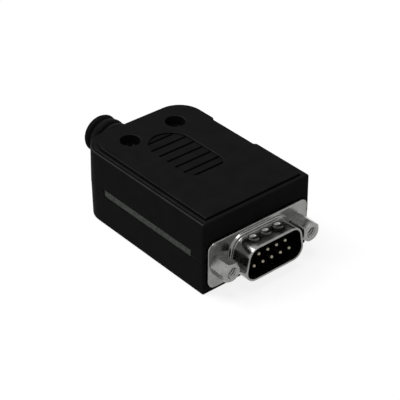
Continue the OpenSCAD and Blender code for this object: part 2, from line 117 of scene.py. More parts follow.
class Nodes:
    """A short way to write a material's node tree."""

    def __init__(self, name: str) -> None:
        """Starts a material with one Principled shader.

        Args:
            name: the material's name.
        """
        self.material = bpy.data.materials.new(name)
        self.material.use_nodes = True
        self.tree = self.material.node_tree
        self.shader = self.tree.nodes["Principled BSDF"]
        self.place = self.add("ShaderNodeTexCoord").outputs["Object"]

    def add(self, kind: str, **settings: object) -> bpy.types.Node:
        """Adds a node and sets its own settings.

        Args:
            kind: the node's type name.
            settings: attributes of the node.

        Returns:
            The new node.
        """
        node = self.tree.nodes.new(kind)
        for key, value in settings.items():
            setattr(node, key, value)
        return node

    def join(self, source: Socket, target: Socket) -> None:
        """Links two sockets."""
        self.tree.links.new(source, target)

    def scaled(self, scale: Triple) -> Socket:
        """Object coordinates in millimetres times a scale for each axis."""
        mapping = self.add("ShaderNodeMapping")
        mapping.inputs["Scale"].default_value = [s / MM for s in scale]
        self.join(self.place, mapping.inputs["Vector"])
        return mapping.outputs["Vector"]

    def grain(self, per_mm: float, detail: float = 2.0, roughness: float = 0.5,
              stretch: Triple = (1.0, 1.0, 1.0)) -> Socket:
        """Noise with a grain of a given fineness.

        Args:
            per_mm: grains to a millimetre.
            detail: octaves of the noise.
            roughness: strength of the finer octaves.
            stretch: more along an axis gives shorter grains there.

        Returns:
            The noise's value socket.
        """
        node = self.add("ShaderNodeTexNoise")
        node.inputs["Scale"].default_value = per_mm
        node.inputs["Detail"].default_value = detail
        node.inputs["Roughness"].default_value = roughness
        self.join(self.scaled(stretch), node.inputs["Vector"])
        return node.outputs["Fac"]

    def remap(self, value: Socket, low: float, high: float,
              start: float = 0.3, end: float = 0.7) -> Socket:
        """Carries start..end of a value onto low..high, clamped."""
        node = self.add("ShaderNodeMapRange")
        for name, number in (("From Min", start), ("From Max", end), ("To Min", low), ("To Max", high)):
            node.inputs[name].default_value = number
        self.join(value, node.inputs["Value"])
        return node.outputs["Result"]

    def mixer(self, **settings: object) -> dict[str, Socket]:
        """A colour mixing node's sockets, by identifier."""
        node = self.add("ShaderNodeMix", data_type="RGBA", **settings)
        return {port.identifier: port for port in (*node.inputs, *node.outputs)}

    def blend(self, value: Socket, first: Sequence[float],
              second: Sequence[float]) -> Socket:
        """A colour between two, by a value from 0 to 1."""
        ports = self.mixer()
        ports["A_Color"].default_value = (*first, 1.0)
        ports["B_Color"].default_value = (*second, 1.0)
        self.join(value, ports["Factor_Float"])
        return ports["Result_Color"]

    def added(self, first: Socket, second: Socket) -> Socket:
        """The sum of two colours."""
        ports = self.mixer(blend_type="ADD")
        ports["Factor_Float"].default_value = 1.0
        self.join(first, ports["A_Color"])
        self.join(second, ports["B_Color"])
        return ports["Result_Color"]

    def bump(self, value: Socket, height_mm: float, strength: float = 1.0,
             under: Socket | None = None) -> Socket:
        """A bump from a height.

        Args:
            value: the height, from 0 to 1.
            height_mm: the real height that 1 stands for.
            strength: the share of the bump that shows.
            under: the normal of a coarser bump below this one.

        Returns:
            The bumped normal.
        """
        node = self.add("ShaderNodeBump")
        node.inputs["Distance"].default_value = height_mm * MM
        node.inputs["Strength"].default_value = strength
        self.join(value, node.inputs["Height"])
        if under is not None:
            self.join(under, node.inputs["Normal"])
        return node.outputs["Normal"]

    def times(self, first: Socket, second: Socket) -> Socket:
        """The product of two values."""
        node = self.add("ShaderNodeMath", operation="MULTIPLY")
        self.join(first, node.inputs[0])
        self.join(second, node.inputs[1])
        return node.outputs["Value"]

    def split(self, vector: Socket) -> bpy.types.bpy_prop_collection:
        """The three parts of a vector."""
        node = self.add("ShaderNodeSeparateXYZ")
        self.join(vector, node.inputs["Vector"])
        return node.outputs

    def paint_edge_highlight(self, gain: float) -> None:
        """Paints a highlight: lightens the base colour on edges that lie between a side and the top or base.
        """
        # painted highlight: the base colour is raised up to the gain on the edge bevels, in place of the
        # lamps' glint there
        facing = self.split(self.add("ShaderNodeNewGeometry").outputs["Normal"])
        size = self.add("ShaderNodeMath", operation="ABSOLUTE")
        self.join(self.times(facing["X"], facing["Z"]), size.inputs[0])
        lighter = self.add("ShaderNodeVectorMath", operation="SCALE")
        base = self.shader.inputs["Base Color"]
        self.join(base.links[0].from_socket, lighter.inputs["Vector"])
        self.join(self.remap(size.outputs["Value"], 1.0, gain, 0.2, 0.5), lighter.inputs["Scale"])
        self.join(lighter.outputs["Vector"], base)

    def set(self, **values: float) -> None:
        """Sets the shader's own sockets; an underscore stands for a space."""
        for key, value in values.items():
            self.shader.inputs[key.replace("_", " ")].default_value = value


def shade(color: Sequence[float], times: float) -> tuple[float, ...]:
    """A colour made lighter or darker."""
    return tuple(min(1.0, c * times) for c in color)


@dataclass(frozen=True)
class Finish:
    """One surface of the plug. Subclasses say how it is painted."""

    slot: str
    color: Triple
    roughness: float = 0.5
    variation: float = 0.15

    def paint(self, nodes: Nodes) -> None:
        """Adds the finish's own nodes."""
        raise NotImplementedError

    def material(self) -> bpy.types.Material:
        """The finish's material, made once."""
        name = f"{self.slot}_finish"
        found = bpy.data.materials.get(name)
        if found is not None:
            return found
        nodes = Nodes(name)
        self.paint(nodes)
        return nodes.material

    def mottle(self, nodes: Nodes, per_mm: float, **grain: object) -> None:
        """Varies the colour and the roughness a little over the surface."""
        value = nodes.grain(per_mm, **grain)
        dark, pale = shade(self.color, 1 - self.variation), shade(self.color, 1 + self.variation)
        nodes.join(nodes.blend(nodes.remap(value, 0.0, 1.0), dark, pale), nodes.shader.inputs["Base Color"])
        nodes.join(nodes.remap(value, self.roughness - 0.05, self.roughness + 0.06),
                   nodes.shader.inputs["Roughness"])


@dataclass(frozen=True)
class MouldedPlastic(Finish):
    """Injection-moulded plastic with a spark-eroded grain."""

    grain_per_mm: float = 9.0
    grain_mm: float = 0.006
    shine: float = 0.2
    # gain of the painted highlight on the long edges; 1 paints none
    edge_highlight_gain: float = 1.0

    def paint(self, nodes: Nodes) -> None:
        """Fine grain over a faint flow mottle, and a painted highlight that lightens the long edges."""
        self.mottle(nodes, 0.25, detail=3.0)
        # painted highlight on the long edge bevels
        if self.edge_highlight_gain > 1.0:
            nodes.paint_edge_highlight(self.edge_highlight_gain)
        flow = nodes.bump(nodes.grain(0.12), 0.05, 0.25)
        nodes.join(nodes.bump(nodes.grain(self.grain_per_mm, 3.0, 0.6), self.grain_mm, 0.6, flow),
                   nodes.shader.inputs["Normal"])
        nodes.set(Specular_IOR_Level=self.shine)


@dataclass(frozen=True)
class SoftRubber(Finish):
    """Matt moulded rubber with a bloom of fine dust."""

    shine: float = 0.15

    def paint(self, nodes: Nodes) -> None:
        """Dusty patches and a fine pitted grain."""
        self.mottle(nodes, 0.6, detail=4.0, roughness=0.65)
        nodes.join(nodes.bump(nodes.grain(6.0, 4.0, 0.7), 0.012, 0.7), nodes.shader.inputs["Normal"])
        nodes.set(Specular_IOR_Level=self.shine)


@dataclass(frozen=True)
class PlatedSheet(Finish):
    """Pressed sheet steel with a bright, slightly cloudy plating."""

    def paint(self, nodes: Nodes) -> None:
        """Clouded plating with a gentle press waviness and fine rolling lines."""
        self.mottle(nodes, 0.35, detail=3.0, roughness=0.6)
        waves = nodes.bump(nodes.grain(0.3, 2.0), 0.06, 0.5)
        lines = nodes.grain(7.0, 3.0, 0.6, stretch=(0.12, 1.0, 1.0))
        nodes.join(nodes.bump(lines, 0.004, 0.5, waves), nodes.shader.inputs["Normal"])
        nodes.set(Metallic=1.0)


@dataclass(frozen=True)
class TurnedMetal(Finish):
    """Bar metal, turned and plated."""

    lines_per_mm: float = 12.0

    def paint(self, nodes: Nodes) -> None:
        """Fine turning lines round the Y axis."""
        self.mottle(nodes, 0.8, detail=2.0)
        lines = nodes.grain(self.lines_per_mm, 2.0, 0.5, stretch=(0.1, 1.0, 0.1))
        nodes.join(nodes.bump(lines, 0.003, 0.6), nodes.shader.inputs["Normal"])
        nodes.set(Metallic=1.0)


@dataclass(frozen=True)
class SawnLaminate(Finish):
    """Glass-fibre board, seen at its sawn edge."""

    resin: Triple = (0.004, 0.005, 0.004)
    # colour of the pale top band, and the heights in mm over which it fades in: partly the board's surface
    # coat, partly a painted highlight of the top edge
    top_coat_and_highlight: Triple = (0.16, 0.17, 0.16)
    top_coat_and_highlight_at: Pair = (2.3, 2.5)
    # heights, in mm, over which the painted shadow at the board's bottom fades out
    bottom_shadow_at: Pair = (0.85, 1.05)

    def paint(self, nodes: Nodes) -> None:
        """Broken fibre layers that run along the board, with chips; the edge darkened towards the bottom as a
        painted shadow, and a pale band along the top that is partly the board's surface coat and partly a
        painted highlight.
        """
        layers = nodes.grain(3.2, 4.0, 0.65, stretch=(0.3, 0.25, 1.6))
        chips = nodes.grain(1.6, 5.0, 0.7)
        height = nodes.split(nodes.scaled((1.0, 1.0, 1.0)))["Z"]
        rough = nodes.times(nodes.remap(layers, 0.3, 1.0, 0.4, 0.6),
                            nodes.remap(chips, 0.45, 1.0, 0.4, 0.58))
        # painted shadow: the edge turns to the dark resin colour towards the bottom of the board
        sawn = nodes.times(rough, nodes.remap(height, 0.0, 1.0, *self.bottom_shadow_at))
        fibres_and_shadow = nodes.blend(sawn, self.resin, self.color)
        # pale top band: partly the board's surface coat, partly a painted highlight of the top edge
        top_coat_and_highlight_band = nodes.blend(nodes.remap(height, 0.0, 1.0, *self.top_coat_and_highlight_at), (0, 0, 0), self.top_coat_and_highlight)
        nodes.join(nodes.added(fibres_and_shadow, top_coat_and_highlight_band), nodes.shader.inputs["Base Color"])
        nodes.join(nodes.bump(chips, 0.08, 0.8), nodes.shader.inputs["Normal"])
        nodes.set(Roughness=self.roughness, Specular_IOR_Level=0.3)


# the hood's long edges get a painted highlight of up to 4.5 times the base colour
HOOD_PLASTIC = MouldedPlastic("hood_plastic", (0.0095, 0.0095, 0.01), 0.48, shine=0.004, edge_highlight_gain=4.5)
BOOT_RUBBER = SoftRubber("boot_rubber", (0.007, 0.007, 0.0073), 0.62, 0.3, shine=0.02)
INSULATOR = MouldedPlastic("insulator_plastic", (0.0015, 0.0015, 0.0013), 0.5, shine=0.01)
SHELL_STEEL = PlatedSheet("shell_steel", (0.25, 0.25, 0.243), 0.17, 0.22)
JACK_NICKEL = TurnedMetal("jack_nickel", (0.27, 0.27, 0.262), 0.3, 0.15)
CONTACT_GOLD = TurnedMetal("contact_gold", (0.26, 0.24, 0.19), 0.22, 0.08)
SCREW_BLACK = TurnedMetal("screw_black", (0.02, 0.02, 0.021), 0.35, 0.2)
BOARD_LAMINATE = SawnLaminate("board_laminate", (0.092, 0.1, 0.091), 0.75)
WIRE_SKIN = MouldedPlastic("wire_insulation", (0.25, 0.25, 0.27), 0.4, shine=0.5)
FINISHES = {f.slot: f for f in (HOOD_PLASTIC, BOOT_RUBBER, INSULATOR, SHELL_STEEL, JACK_NICKEL,
                                CONTACT_GOLD, SCREW_BLACK, BOARD_LAMINATE, WIRE_SKIN)}


# ---------- shapes ----------


def cad_mm(node: str) -> tuple[Vector, Vector]:
    """Lowest and highest corner of a CAD node, in millimetres."""
    low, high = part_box(node)
    return low / MM, high / MM


def middle_mm(node: str) -> Vector:
    """Middle of a CAD node's box, in millimetres."""
    low, high = cad_mm(node)
    return (low + high) / 2


def edge_along(axis: Along) -> Callable[[Edge], bool]:
    """A test for edges that run along an axis."""
    return lambda e: abs((e.verts[1].co - e.verts[0].co).normalized().dot(axis.vector)) > 0.999


class Outline:
    """A closed convex outline with round corners.

    Each station round it keeps a corner's centre, radius and normal, so that
    rings drawn from it at any offset have matching points.
    """

    def __init__(self, corners: Sequence[Triple], across: Along = Along.Y,
                 arc_steps: int = 8, flat_steps: int = 1) -> None:
        """Works out the stations round the outline.

        Args:
            corners: centre and radius of each corner, counter-clockwise.
            across: Y for an outline in X and Z, Z for an outline in X and Y.
            arc_steps: steps round each corner.
            flat_steps: steps along each flat side.
        """
        self.across = across
        self.stations: list[tuple[Vector, float, Vector]] = []
        count = len(corners)
        centres = [Vector(c[:2]) for c in corners]
        normals = []
        for i, here in enumerate(corners):
            there = corners[(i + 1) % count]
            gap = centres[(i + 1) % count] - centres[i]
            lean = math.asin((here[2] - there[2]) / gap.length) if gap.length else 0.0
            side = Matrix.Rotation(lean, 2) @ gap.normalized()
            normals.append(Vector((side.y, -side.x)))
        for i, here in enumerate(corners):
            before, after = normals[i - 1], normals[i]
            for k in range(arc_steps + 1):
                spun = Matrix.Rotation(before.angle(after) * k / arc_steps, 2) @ before
                self.stations.append((centres[i], here[2], spun))
            there = corners[(i + 1) % count]
            for k in range(1, flat_steps):
                t = k / flat_steps
                self.stations.append((centres[i].lerp(centres[(i + 1) % count], t),
                                      here[2] + (there[2] - here[2]) * t, after))

    @classmethod
    def rectangle(cls, width: float, height: float, radius: float, arc_steps: int = 8,
                  flat_steps: int = 1) -> "Outline":
        """A rectangle with round corners of a radius, in X and Z."""
        x, z = width / 2 - radius, height / 2 - radius
        return cls([(-x, -z, radius), (x, -z, radius), (x, z, radius), (-x, z, radius)],
                   arc_steps=arc_steps, flat_steps=flat_steps)

    def ring(self, grow: float, level: float) -> list[Vector]:
        """The outline's points, grown by an offset, at a level on the axis across it."""
        found = [c + (r + grow) * n for c, r, n in self.stations]
        if self.across is Along.Z:
            return [Vector((p.x, p.y, level)) for p in found]
        return [Vector((p.x, level, p.y)) for p in found]


class Solid:
    """A closed mesh under construction, in millimetres."""

    def __init__(self, bm: bmesh.types.BMesh | None = None) -> None:
        """Wraps a bmesh, or starts an empty one."""
        self.bm = bm if bm is not None else bmesh.new()

    # -- starting shapes --

    @classmethod
    def block(cls, low: Sequence[float], high: Sequence[float]) -> "Solid":
        """A box between two corners."""
        low, high = Vector(low), Vector(high)
        solid = cls()
        bmesh.ops.create_cube(solid.bm, size=1.0)
        bmesh.ops.scale(solid.bm, vec=high - low, verts=solid.bm.verts)
        bmesh.ops.translate(solid.bm, vec=(low + high) / 2, verts=solid.bm.verts)
        return solid

    @classmethod
    def rod(cls, axis: Along, start: Sequence[float], length: float, radius: float,
            sides: int = 64) -> "Solid":
        """A round or many-sided bar.

        Args:
            axis: the way it runs.
            start: the middle of its first end.
            length: its length along the axis.
            radius: its radius, to its corners.
            sides: its number of sides.

        Returns:
            The bar.
        """
        solid = cls()
        bmesh.ops.create_cone(solid.bm, cap_ends=True, segments=sides, radius1=radius, radius2=radius,
                              depth=length)
        bmesh.ops.translate(solid.bm, vec=(0, 0, length / 2), verts=solid.bm.verts)
        return solid.placed(axis, start)

    @classmethod
    def turned(cls, profile: Sequence[Pair], axis: Along, start: Sequence[float],
               steps: int = 72) -> "Solid":
        """A profile turned all the way round an axis.

        Args:
            profile: radius and height of each point. A profile that starts and
                ends on the axis, or that meets itself, gives a closed shape.
            axis: the axis that it is turned round.
            start: where height 0 is.
            steps: steps round the axis.

        Returns:
            The turned shape.
        """
        solid = cls()
        verts = [solid.bm.verts.new((r, 0.0, h)) for r, h in profile]
        edges = [solid.bm.edges.new(pair) for pair in zip(verts, verts[1:])]
        if profile[0][0] > 0:
            edges.append(solid.bm.edges.new((verts[-1], verts[0])))
        bmesh.ops.spin(solid.bm, geom=verts + edges, cent=(0, 0, 0), axis=(0, 0, 1), angle=TURN,
                       steps=steps, use_merge=True)
        return solid.merged().outwards().placed(axis, start)

    @classmethod
    def drawn(cls, section: Sequence[Vector], along: Vector) -> "Solid":
        """A flat section drawn out along a vector."""
        solid = cls()
        face = solid.bm.faces.new([solid.bm.verts.new(p) for p in section])
        made = bmesh.ops.extrude_face_region(solid.bm, geom=[face])["geom"]
        moved = [g for g in made if isinstance(g, bmesh.types.BMVert)]
        bmesh.ops.translate(solid.bm, vec=along, verts=moved)
        return solid.outwards()

    @classmethod
    def helix(cls, profile: Sequence[Pair], pitch: float, turns: float, axis: Along,
              start: Sequence[float], steps: int = 24) -> "Solid":
        """A closed profile wound along an axis, such as a thread's ridge.

        Args:
            profile: radius and height of each point.
            pitch: the rise in one turn.
            turns: the number of turns.
            axis: the thread's axis.
            start: where height 0 is.
            steps: steps in one turn.

        Returns:
            The wound shape.
        """
        solid = cls()
        verts = [solid.bm.verts.new((r, 0.0, h)) for r, h in profile]
        face = solid.bm.faces.new(verts)
        count = round(turns * steps)
        made = bmesh.ops.spin(solid.bm, geom=[face, *face.edges, *face.verts], cent=(0, 0, 0),
                              axis=(0, 0, 1), dvec=(0, 0, pitch / steps), angle=TURN * turns, steps=count)
        if not solid.bm.is_valid or not made["geom_last"]:
            raise RuntimeError("the thread wasn't wound")
        return solid.outwards().placed(axis, start)

    @classmethod
    def lofted(cls, rings: Sequence[Sequence[Vector]], closed: bool = False) -> "Solid":
        """A skin over a row of closed rings.

        Args:
            rings: the rings' points, in order.
            closed: True joins the last ring to the first; False caps both ends.

        Returns:
            The skinned shape.
        """
        solid = cls()
        loops, moved = [], []
        third = len(rings[0]) // 3
        away = normal([rings[0][0], rings[0][third], rings[0][2 * third]]) * RING_GAP
        for k, ring in enumerate(rings):  # apart, so that flat steps are bridged the right way round
            verts = [solid.bm.verts.new(p + away * k) for p in ring]
            moved.append((verts, away * -k))
            loops.append([solid.bm.edges.new((a, b)) for a, b in zip(verts, verts[1:] + verts[:1])])
        pairs = list(zip(loops, loops[1:] + loops[:1])) if closed else list(zip(loops, loops[1:]))
        for first, second in pairs:
            bmesh.ops.bridge_loops(solid.bm, edges=first + second)
        if not closed:
            bmesh.ops.edgeloop_fill(solid.bm, edges=loops[0])
            bmesh.ops.edgeloop_fill(solid.bm, edges=loops[-1])
        for verts, back in moved:
            bmesh.ops.translate(solid.bm, vec=back, verts=verts)
        return solid.outwards()

    # -- changes --

    def merged(self) -> "Solid":
        """Makes one point of points that meet."""
        bmesh.ops.remove_doubles(self.bm, verts=self.bm.verts, dist=MERGE)
        return self

    def outwards(self) -> "Solid":
        """Turns every face outwards."""
        bmesh.ops.recalc_face_normals(self.bm, faces=self.bm.faces)
        return self

    def placed(self, axis: Along, start: Sequence[float]) -> "Solid":
        """Turns a shape made along Z onto an axis and moves it to its start."""
        bmesh.ops.transform(self.bm, matrix=Matrix.Translation(start) @ axis.turn(), verts=self.bm.verts)
        return self

    def turned_about(self, axis: Along, degrees: float, centre: Sequence[float]) -> "Solid":
        """Turns the shape in place."""
        spin = Matrix.Rotation(math.radians(degrees), 3, axis.vector)
        bmesh.ops.rotate(self.bm, cent=centre, matrix=spin, verts=self.bm.verts)
        return self

    def round_edges(self, radius: float, segments: int, where: Callable[[Edge], bool]) -> "Solid":
        """Rounds the edges that a test picks."""
        edges = [e for e in self.bm.edges if where(e)]
        if edges:
            bmesh.ops.bevel(self.bm, geom=edges, offset=radius, offset_type="OFFSET", segments=segments,
                            profile=0.5, affect="EDGES", material=-1, clamp_overlap=False)
            self.merged()
        return self

    def work(self, *steps: tuple[Cut, "Solid"]) -> "Solid":
        """Cuts, joins or crosses this shape with tools, in order.

        Args:
            steps: each tool with what it does.

        Returns:
            This shape, changed.
        """
        body = self.spare("body")
        tools = []
        for i, (how, tool) in enumerate(steps):
            other = tool.spare(f"tool{i}")
            tools.append(other)
            step = body.modifiers.new(f"step{i}", "BOOLEAN")
            step.operation, step.solver, step.object = how.value, "EXACT", other
        graph = bpy.context.evaluated_depsgraph_get()
        graph.update()
        made = body.evaluated_get(graph).to_mesh()
        self.bm.free()
        self.bm = bmesh.new()
        self.bm.from_mesh(made)
        for other in (body, *tools):
            mesh = other.data
            bpy.data.objects.remove(other)
            bpy.data.meshes.remove(mesh)
        bmesh.ops.triangulate(self.bm, faces=self.bm.faces)
        return self.merged()

    def spare(self, name: str) -> bpy.types.Object:
        """A throwaway object with this shape, in millimetres."""
        mesh = bpy.data.meshes.new(name)
        self.bm.to_mesh(mesh)
        return linked(name, mesh)

    def piece(self, name: str, finish: Finish, *nodes: str, smooth: float = 35.0,
              weighted: bool = False) -> bpy.types.Object:
        """Makes the finished piece of the object.

        Args:
            name: the piece's name.
            finish: its surface.
            nodes: the CAD nodes that it stands for.
            smooth: edges that turn more than this, in degrees, stay sharp.
            weighted: True lets large flats keep their own direction.

        Returns:
            The piece.
        """
        bmesh.ops.scale(self.bm, vec=(MM, MM, MM), verts=self.bm.verts)
        for e in self.bm.edges:
            e.smooth = e.calc_face_angle(0.0) < math.radians(smooth)
        for f in self.bm.faces:
            f.smooth = True
        mesh = bpy.data.meshes.new(name)
        self.bm.to_mesh(mesh)
        self.bm.free()
        mesh.materials.append(finish.material())
        found = linked(name, mesh)
        if weighted:
            steady = found.modifiers.new("flats", "WEIGHTED_NORMAL")
            steady.keep_sharp = True
        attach(found, "root")
        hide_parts(*nodes)
        log.info("%s: %d faces", name, len(mesh.polygons))
        return found


# ---------- hood ----------


@dataclass
class Hood:
    """The two moulded half shells. Sizes are in millimetres."""

    wall: float = 1.8
    rear_radius: float = 6.8
    front_radius: float = 0.6
    edge_radius: float = 0.4
    edge_steps: int = 6
    lip: float = 0.06
    base_radius: float = 0.3
    base_steps: int = 4
    draft: float = 0.15
    lower_in: float = 0.05
    rim: float = 0.08
    inner_groove: Triple = (2.1, 0.72, 0.9)
    outer_groove: Triple = (0.85, 0.42, 0.4)
    groove_front: float = 1.65
    groove_end: float = 1.7
    grip_width: float = 11.4
    grip_length: float = 20.2
    grip_back: float = 9.7
    grip_corner: float = 2.5
    grip_floor: float = 0.4
    grip_gap: Triple = (0.6, 3.05, 1.2)
    grip_gaps: int = 7
    first_gap_back: float = 0.5
    notch: Triple = (11.7, 17.2, 1.0)
    notch_ramps: Pair = (1.5, 0.9)
    notch_foot: float = 1.5
    reveal: float = 0.2
    seat: float = 1.0
    roof_extra: float = 0.4
    well_radius: float = 2.65
    well_wall: float = 0.9
    well_floor: float = 1.2
    post_radius: float = 2.4
    shank_hole: float = 1.3
    pilot_hole: float = 1.15
    pilot_floor: float = 0.4
    head_height: float = 1.7
    body_cut: Triple = (19.7, 11.2, 1.85)
    flange_gap: float = 0.25
    slot_gap: float = 0.15
    slot_ends: Pair = (0.4, 0.2)
    seat_corner: float = 2.25
    boot_neck: float = 4.4
    boot_gap: float = 0.05
    upper: tuple[Vector, Vector] = field(default_factory=lambda: cad_mm("upper_shell"))
    lower: tuple[Vector, Vector] = field(default_factory=lambda: cad_mm("lower_shell"))

    def __post_init__(self) -> None:
        """Takes the shared levels from the CAD."""
        self.left, self.front = self.upper[0].x, self.upper[0].y
        self.right, self.rear, self.top = self.upper[1]
        self.seam = self.upper[0].z
        self.base = self.lower[0].z
        self.flange = cad_mm("front_shell")
        self.front_wall = self.seat + self.wall

    def ring(self, inset: float, z: float) -> list[Vector]:
        """The hood's plan, drawn in by an inset, at a height."""
        near, far = max(self.front_radius - inset, 0.05), max(self.rear_radius - inset, 0.3)
        x0, x1 = self.left + inset, self.right - inset
        y0, y1 = self.front + inset, self.rear - inset
        corners = [(x0 + near, y0 + near, near), (x1 - near, y0 + near, near),
                   (x1 - far, y1 - far, far), (x0 + far, y1 - far, far)]
        return Outline(corners, Along.Z, 18).ring(0.0, z)

    def slab(self, low_z: float, high_z: float, inset: float = 0.0) -> Solid:
        """A block with the hood's plan between two heights."""
        return Solid.lofted([self.ring(inset, low_z), self.ring(inset, high_z)])

    def without_front(self, solid: Solid, low_z: float, high_z: float) -> Solid:
        """Leaves out a tool's part in the thick front wall."""
        return solid.work((Cut.AWAY, Solid.block((self.left - 1, self.front - 1, low_z),
                                                 (self.right + 1, self.front_wall, high_z))))

    def side_groove(self, inset: float, width: float, depth: float, start_y: float) -> Solid:
        """A tool for a groove along the left side and round its rear corner.

        Args:
            inset: the groove's middle, from the side.
            width: its width at the top.
            depth: its depth.
            start_y: where it starts in front.

        Returns:
            The tool.
        """
        tool = Solid()
        section = self.groove_section(width, depth)
        verts = [tool.bm.verts.new((self.left + inset + a, start_y, self.top + h)) for a, h in section]
        face = tool.bm.faces.new(verts)
        made = bmesh.ops.extrude_face_region(tool.bm, geom=[face])["geom"]
        moved = [g for g in made if isinstance(g, bmesh.types.BMVert)]
        bmesh.ops.translate(tool.bm, vec=(0, self.rear - self.rear_radius - start_y, 0), verts=moved)
        end = [g for g in made if isinstance(g, bmesh.types.BMFace)]
        corner = (self.left + self.rear_radius, self.rear - self.rear_radius, 0)
        bmesh.ops.spin(tool.bm, geom=end + [e for f in end for e in f.edges] + moved, cent=corner,
                       axis=(0, 0, 1), angle=-math.pi / 4, steps=10)
        inner = [f for f in end if f.is_valid and all(len(e.link_faces) > 2 for e in f.edges)]
        bmesh.ops.delete(tool.bm, geom=inner, context="FACES")
        for v in tool.bm.verts:  # the groove runs out towards its rear end
            if v.co.y > corner[1] and v.co.z < self.top:
                share = min(1.0, math.atan2(v.co.y - corner[1], corner[0] - v.co.x) * 4 / math.pi)
                v.co.z += (self.top - v.co.z) * 0.9 * share ** 2
        return tool.outwards()

    def groove_section(self, width: float, depth: float) -> list[Pair]:
        """Half-width and height of a groove's section, flared at the surface."""
        half, rim = width / 2, self.rim
        left = [(-half - 2 * rim, rim), (-half, -rim), (-half * 0.8, -depth)]
        return left + [(-a, h) for a, h in reversed(left)]

    def grooves(self) -> list[Solid]:
        """Tools for the border: two along the side and one along the front."""
        inset, width, depth = self.inner_groove
        front_y = self.front + self.groove_front
        start = self.left + inset - width / 2
        section = [Vector((start, front_y + a, self.top + h)) for a, h in self.groove_section(width, depth)]
        along_front = Solid.drawn(section, Vector((self.right - self.groove_end - start, 0, 0)))
        return [self.side_groove(*self.inner_groove, front_y - width / 2), along_front,
                self.side_groove(*self.outer_groove, self.front + self.groove_front / 2)]

    def grip_plan(self, low_z: float, inset: float = 0.0) -> Solid:
        """A tool with the thumb grip's outline from a height to above the top, flared at the surface."""
        rear = self.rear - self.grip_back
        half, near = self.grip_width / 2, self.grip_corner
        front = rear - self.grip_length
        plan = Outline([(-half + near, front + near, near), (half - near, front + near, near),
                        (0, rear - half, half)], Along.Z, 32)
        return Solid.lofted([plan.ring(-inset, low_z), plan.ring(-inset, self.top - self.rim),
                             plan.ring(2 * self.rim - inset, self.top + self.rim)])

    def grip(self) -> list[Solid]:
        """Tools for the thumb grip: a shallow recess and the gaps between its ridges."""
        width, pitch, depth = self.grip_gap
        front = self.rear - self.grip_back - self.grip_length
        ridge = self.top - self.grip_floor
        section = [(-width / 2, -depth), (width / 2, -depth), (width / 2, -self.rim),
                   (width / 2 + 3 * self.rim, 2 * self.rim), (-width / 2 - 3 * self.rim, 2 * self.rim),
                   (-width / 2, -self.rim)]
        found = [self.grip_plan(ridge)]
        for i in range(self.grip_gaps):
            middle = front + i * pitch + width / 2 + (self.first_gap_back if i == 0 else 0)
            points = [Vector((-self.grip_width, middle + a, ridge + h)) for a, h in section]
            bar = Solid.drawn(points, Vector((2 * self.grip_width, 0, 0)))
            found.append(self.grip_plan(ridge - depth - 0.2, 0.02).work((Cut.KEEP, bar)))
        return found

    def side_notch(self) -> Solid:
        """A tool for the shallow notch in the right side, with ramped ends."""
        back, length, depth = self.notch
        rear_ramp, front_ramp = self.notch_ramps
        end = self.rear - back
        wide = (depth + 1) / depth
        inner, outer, low = self.right - depth, self.right + 1, self.seam + self.notch_foot
        plan = [(inner, end - rear_ramp), (outer, end + rear_ramp * (wide - 1)),
                (outer, end - length - front_ramp * (wide - 1)), (inner, end - length + front_ramp)]
        return Solid.drawn([Vector((x, y, low)) for x, y in plan], Vector((0, 0, self.top + 1 - low)))

    def openings(self) -> list[Solid]:
        """Tools shared by both shells: flange seat, connector, boot and board slot."""
        low, high = self.flange
        gap = self.flange_gap
        plate = Outline.rectangle(high.x - low.x + 2 * gap, high.z - low.z + 2 * gap, self.seat_corner)
        seat = Solid.lofted([plate.ring(0, self.seat), plate.ring(0, self.front + self.rim),
                             plate.ring(2 * self.rim, self.front - self.rim)])
        width, height, radius = self.body_cut
        body = Solid.block((-width / 2, -1, -height / 2), (width / 2, self.front_wall + 1, height / 2))
        body.round_edges(radius, 6, edge_along(Along.Y))
        boot = Solid.rod(Along.Y, (0, self.rear - self.wall - 1, self.seam), self.wall + 2,
                         self.boot_neck + self.boot_gap)
        board_low, board_high = cad_mm("circuit_board")
        front_end, rear_end = self.slot_ends
        slot = Solid.block((self.left - 1, board_low.y - front_end, board_low.z - self.slot_gap),
                           (self.left + self.wall + 2, board_high.y + rear_end, board_high.z + self.slot_gap))
        return [seat, body, boot, slot]

    def screws(self) -> list[Triple]:
        """Each screw's place in plan, and the height of its head's seat."""
        found = []
        for side in SIDES:
            node = f"housing_screw_{side}"
            spot = middle_mm(node)
            found.append((spot.x, spot.y, cad_mm(node)[1].z - self.head_height))
        return found

    def upper_body(self) -> Solid:
        """The upper shell's outside: leaning sides and a rounded top edge."""
        rings = [self.ring(self.lip, self.seam), self.ring(0.0, self.seam + self.lip)]
        for k in range(self.edge_steps + 1):
            t = math.pi / 2 * k / self.edge_steps
            rings.append(self.ring(self.draft + self.edge_radius * (1 - math.cos(t)),
                                   self.top - self.edge_radius * (1 - math.sin(t))))
        return Solid.lofted(rings)

    def lower_body(self) -> Solid:
        """The lower shell's outside: leaning sides, a rounded base and the shadow line on top."""
        side, round_in = self.lower_in + self.draft, self.base_radius
        rings = []
        for k in range(self.base_steps + 1):
            t = math.pi / 2 * k / self.base_steps
            rings.append(self.ring(side + round_in * (1 - math.sin(t)),
                                   self.base + round_in * (1 - math.cos(t))))
        shoulder, soft = self.seam - self.reveal, 0.05
        rings += [self.ring(self.lower_in, shoulder - soft), self.ring(self.lower_in + soft, shoulder)]
        rings += [self.ring(self.lower_in + self.reveal, level) for level in (shoulder, self.seam)]
        return Solid.lofted(rings)

    def well(self, x: float, y: float, seat: float) -> Solid:
        """A tool for a screw's well, flared at the top."""
        height, r, rim = self.top - seat, self.well_radius, self.rim
        section = [(0, 0), (r, 0), (r, height - rim), (r + 2 * rim, height + rim), (0, height + rim)]
        return Solid.turned(section, Along.Z, (x, y, seat), 64)

